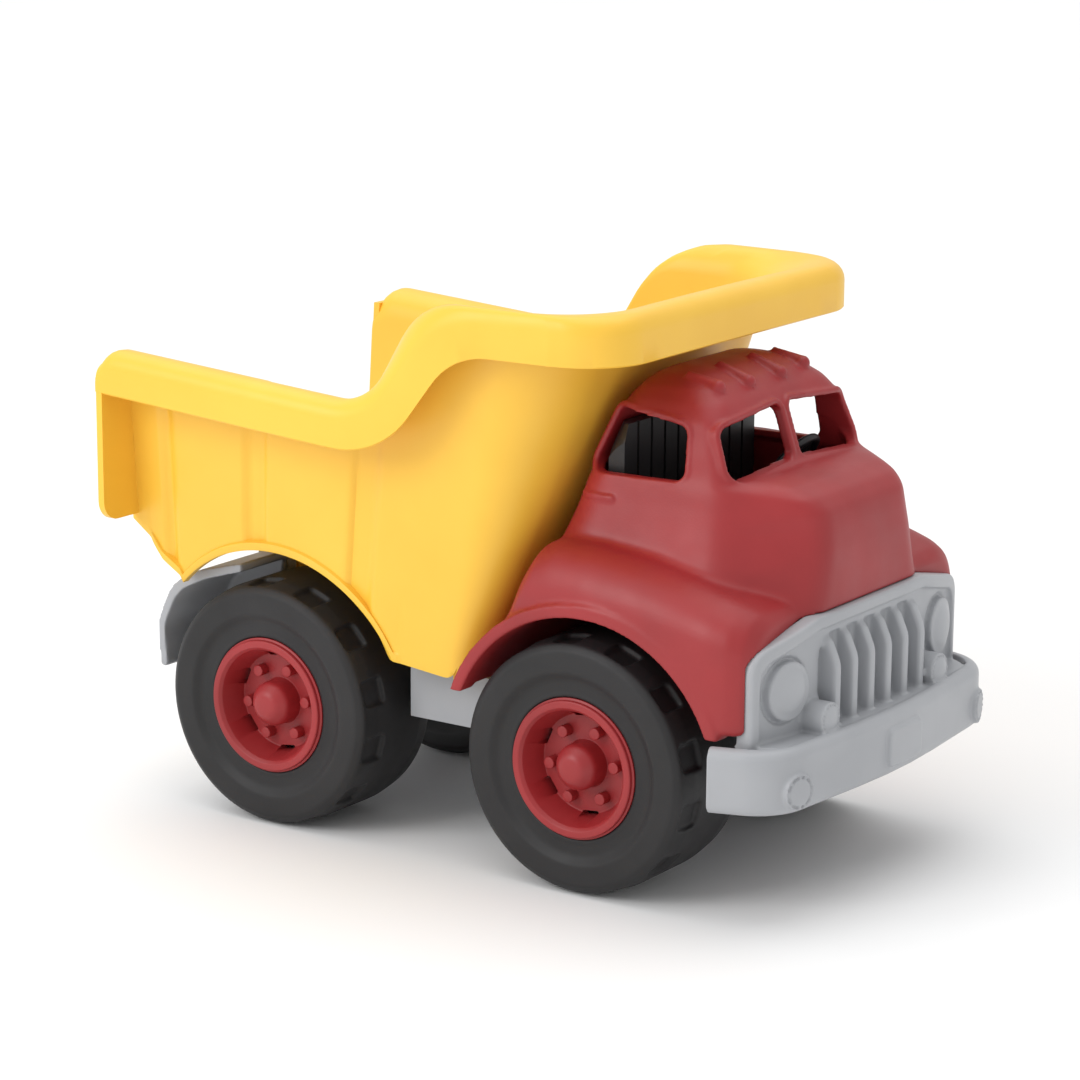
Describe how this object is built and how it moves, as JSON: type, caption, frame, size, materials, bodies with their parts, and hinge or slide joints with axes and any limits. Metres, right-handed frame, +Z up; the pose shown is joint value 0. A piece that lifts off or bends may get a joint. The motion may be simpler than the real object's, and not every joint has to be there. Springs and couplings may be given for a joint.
{
  "type": "toy dump truck",
  "caption": "Toy dump truck with a tipping bed, a cab with open windows, a moulded grille and bumper, and chunky rolling wheels.",
  "frame": {"origin": "centre of the bounding box on the ground, under the four tyres", "axes": "+X towards the truck's front, +Y to its left, +Z up"},
  "size_m": [0.267, 0.171, 0.1896],
  "materials": {
    "yellow_plastic": "satin moulded plastic",
    "red_plastic": "satin moulded plastic",
    "grey_plastic": "satin moulded plastic",
    "tyre_black": "matte",
    "black_plastic": "matte moulded plastic",
    "screw_steel": "zinc plated"
  },
  "bodies": {
    "truck": {"bed_hinge_pin": "grey_plastic", "chassis": "grey_plastic", "rear_mudguard_left": "grey_plastic", "rear_mudguard_right": "grey_plastic", "cab_screws": "screw_steel", "cab_shell": "red_plastic", "cab_interior": "black_plastic", "steering_wheel": "black_plastic", "grille_bumper": "grey_plastic"},
    "bed": {"dump_bed": "yellow_plastic"},
    "front_wheelset": {"front_axle": "black_plastic", "tyre_front_right": "tyre_black", "wheel_front_right": "red_plastic", "tyre_front_left": "tyre_black", "wheel_front_left": "red_plastic"},
    "rear_wheelset": {"rear_axle": "black_plastic", "tyre_rear_right": "tyre_black", "wheel_rear_right": "red_plastic", "tyre_rear_left": "tyre_black", "wheel_rear_left": "red_plastic"}
  },
  "joints": [
    {"name": "bed_tip", "type": "hinge", "parent": "truck", "child": "bed", "pos_m": [-0.106, 0, 0.078], "axis": [0, -1, 0], "range_deg": [0, 50]},
    {"name": "front_wheels_roll", "type": "hinge", "parent": "truck", "child": "front_wheelset", "pos_m": [0.0503, 0, 0.042], "axis": [0, 1, 0], "continuous": true},
    {"name": "rear_wheels_roll", "type": "hinge", "parent": "truck", "child": "rear_wheelset", "pos_m": [-0.0743, 0, 0.042], "axis": [0, 1, 0], "continuous": true}
  ]
}
